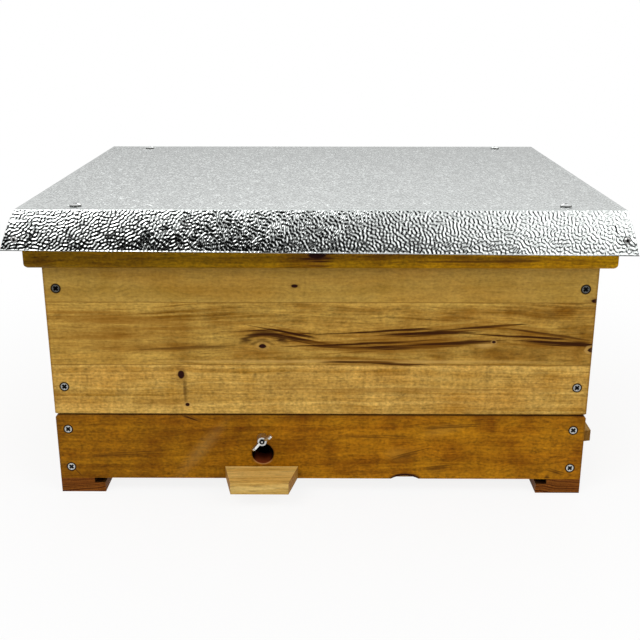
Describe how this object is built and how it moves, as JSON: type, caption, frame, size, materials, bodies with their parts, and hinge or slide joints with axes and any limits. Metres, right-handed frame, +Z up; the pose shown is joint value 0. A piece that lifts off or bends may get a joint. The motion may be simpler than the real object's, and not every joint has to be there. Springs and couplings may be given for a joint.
{
  "type": "nuc box",
  "caption": "Wooden nuc box for queen rearing: a floor with gated round entrances and landing boards, a hive body with parted chambers and hanging frames, and a telescoping metal-roofed lid.",
  "frame": {"origin": "on the ground under the middle of the box", "axes": "+Z up, front wall faces -Y, +X to the right seen from the front"},
  "size_m": [0.572, 0.45, 0.287],
  "materials": {
    "stained_wood": "dark oil stain, satin",
    "oiled_wood": "light oil, satin",
    "raw_wood": "bare planed wood",
    "plywood": "bare plywood",
    "frame_wood": "bare planed wood with wax sheet",
    "grid_plastic": "matt",
    "foam": "matt foam board",
    "roof_metal": "stucco-embossed sheet",
    "zinc_steel": "zinc plated"
  },
  "bodies": {
    "floor": {"floor_front_wall": "stained_wood", "floor_right_wall": "stained_wood", "floor_back_wall": "stained_wood", "floor_left_wall": "stained_wood", "floor_dividers": "plywood", "left_runner": "stained_wood", "right_runner": "stained_wood", "floor_grid": "grid_plastic", "front_landing": "raw_wood", "right_landing": "raw_wood", "back_landing": "raw_wood", "left_landing": "raw_wood", "floor_screws": "zinc_steel"},
    "bottom_board": {"bottom_board": "plywood"},
    "hive_body": {"body_front_wall": "oiled_wood", "body_right_wall": "oiled_wood", "body_back_wall": "oiled_wood", "body_left_wall": "oiled_wood", "body_divider_1": "plywood", "body_divider_2": "plywood", "body_divider_3": "plywood", "body_screws": "zinc_steel", "chamber_cover_1": "plywood", "chamber_cover_2": "plywood", "chamber_cover_3": "plywood", "chamber_cover_4": "plywood"},
    "lid": {"lid_front_rim": "stained_wood", "lid_right_rim": "stained_wood", "lid_back_rim": "stained_wood", "lid_left_rim": "stained_wood", "lid_panel": "plywood", "lid_foam": "foam", "roof_sheet": "roof_metal", "roof_screws": "zinc_steel", "corner_screws": "zinc_steel"},
    "front_gate": {"front_gate": "zinc_steel", "front_bolt": "zinc_steel"},
    "front_wing_nut": {"front_wing_nut": "zinc_steel"},
    "right_gate": {"right_gate": "zinc_steel", "right_bolt": "zinc_steel"},
    "right_wing_nut": {"right_wing_nut": "zinc_steel"},
    "back_gate": {"back_gate": "zinc_steel", "back_bolt": "zinc_steel"},
    "back_wing_nut": {"back_wing_nut": "zinc_steel"},
    "left_gate": {"left_gate": "zinc_steel", "left_bolt": "zinc_steel"},
    "left_wing_nut": {"left_wing_nut": "zinc_steel"},
    "frame_1a": {"frame_1a": "frame_wood"},
    "frame_1b": {"frame_1b": "frame_wood"},
    "frame_1c": {"frame_1c": "frame_wood"},
    "frame_2a": {"frame_2a": "frame_wood"},
    "frame_2b": {"frame_2b": "frame_wood"},
    "frame_2c": {"frame_2c": "frame_wood"},
    "frame_3a": {"frame_3a": "frame_wood"},
    "frame_3b": {"frame_3b": "frame_wood"},
    "frame_3c": {"frame_3c": "frame_wood"},
    "frame_4a": {"frame_4a": "frame_wood"},
    "frame_4b": {"frame_4b": "frame_wood"},
    "frame_4c": {"frame_4c": "frame_wood"}
  },
  "joints": [
    {"name": "body_lift", "type": "slide", "parent": "floor", "child": "hive_body", "axis": [0, 0, 1], "range_m": [0, 0.2]},
    {"name": "lid_lift", "type": "slide", "parent": "hive_body", "child": "lid", "axis": [0, 0, 1], "range_m": [0, 0.25]},
    {"name": "board_slide", "type": "slide", "parent": "floor", "child": "bottom_board", "axis": [0, 1, 0], "range_m": [0, 0.34]},
    {"name": "front_gate_turn", "type": "hinge", "parent": "floor", "child": "front_gate", "pos_m": [-0.0557, -0.19, 0.058], "axis": [0, -1, 0], "range_deg": [0, 112]},
    {"name": "front_nut_turn", "type": "hinge", "parent": "front_gate", "child": "front_wing_nut", "pos_m": [-0.0557, -0.19, 0.058], "axis": [0, -1, 0], "continuous": true},
    {"name": "right_gate_turn", "type": "hinge", "parent": "floor", "child": "right_gate", "pos_m": [0.254, -0.075, 0.058], "axis": [1, 0, 0], "range_deg": [0, 112]},
    {"name": "right_nut_turn", "type": "hinge", "parent": "right_gate", "child": "right_wing_nut", "pos_m": [0.254, -0.075, 0.058], "axis": [1, 0, 0], "continuous": true},
    {"name": "back_gate_turn", "type": "hinge", "parent": "floor", "child": "back_gate", "pos_m": [0.0557, 0.19, 0.058], "axis": [0, 1, 0], "range_deg": [0, 112]},
    {"name": "back_nut_turn", "type": "hinge", "parent": "back_gate", "child": "back_wing_nut", "pos_m": [0.0557, 0.19, 0.058], "axis": [0, 1, 0], "continuous": true},
    {"name": "left_gate_turn", "type": "hinge", "parent": "floor", "child": "left_gate", "pos_m": [-0.254, 0.075, 0.058], "axis": [-1, 0, 0], "range_deg": [0, 112]},
    {"name": "left_nut_turn", "type": "hinge", "parent": "left_gate", "child": "left_wing_nut", "pos_m": [-0.254, 0.075, 0.058], "axis": [-1, 0, 0], "continuous": true},
    {"name": "frame_1a_lift", "type": "slide", "parent": "hive_body", "child": "frame_1a", "axis": [0, 0, 1], "range_m": [0, 0.005]},
    {"name": "frame_1b_lift", "type": "slide", "parent": "hive_body", "child": "frame_1b", "axis": [0, 0, 1], "range_m": [0, 0.005]},
    {"name": "frame_1c_lift", "type": "slide", "parent": "hive_body", "child": "frame_1c", "axis": [0, 0, 1], "range_m": [0, 0.005]},
    {"name": "frame_2a_lift", "type": "slide", "parent": "hive_body", "child": "frame_2a", "axis": [0, 0, 1], "range_m": [0, 0.005]},
    {"name": "frame_2b_lift", "type": "slide", "parent": "hive_body", "child": "frame_2b", "axis": [0, 0, 1], "range_m": [0, 0.005]},
    {"name": "frame_2c_lift", "type": "slide", "parent": "hive_body", "child": "frame_2c", "axis": [0, 0, 1], "range_m": [0, 0.005]},
    {"name": "frame_3a_lift", "type": "slide", "parent": "hive_body", "child": "frame_3a", "axis": [0, 0, 1], "range_m": [0, 0.005]},
    {"name": "frame_3b_lift", "type": "slide", "parent": "hive_body", "child": "frame_3b", "axis": [0, 0, 1], "range_m": [0, 0.005]},
    {"name": "frame_3c_lift", "type": "slide", "parent": "hive_body", "child": "frame_3c", "axis": [0, 0, 1], "range_m": [0, 0.005]},
    {"name": "frame_4a_lift", "type": "slide", "parent": "hive_body", "child": "frame_4a", "axis": [0, 0, 1], "range_m": [0, 0.005]},
    {"name": "frame_4b_lift", "type": "slide", "parent": "hive_body", "child": "frame_4b", "axis": [0, 0, 1], "range_m": [0, 0.005]},
    {"name": "frame_4c_lift", "type": "slide", "parent": "hive_body", "child": "frame_4c", "axis": [0, 0, 1], "range_m": [0, 0.005]}
  ]
}
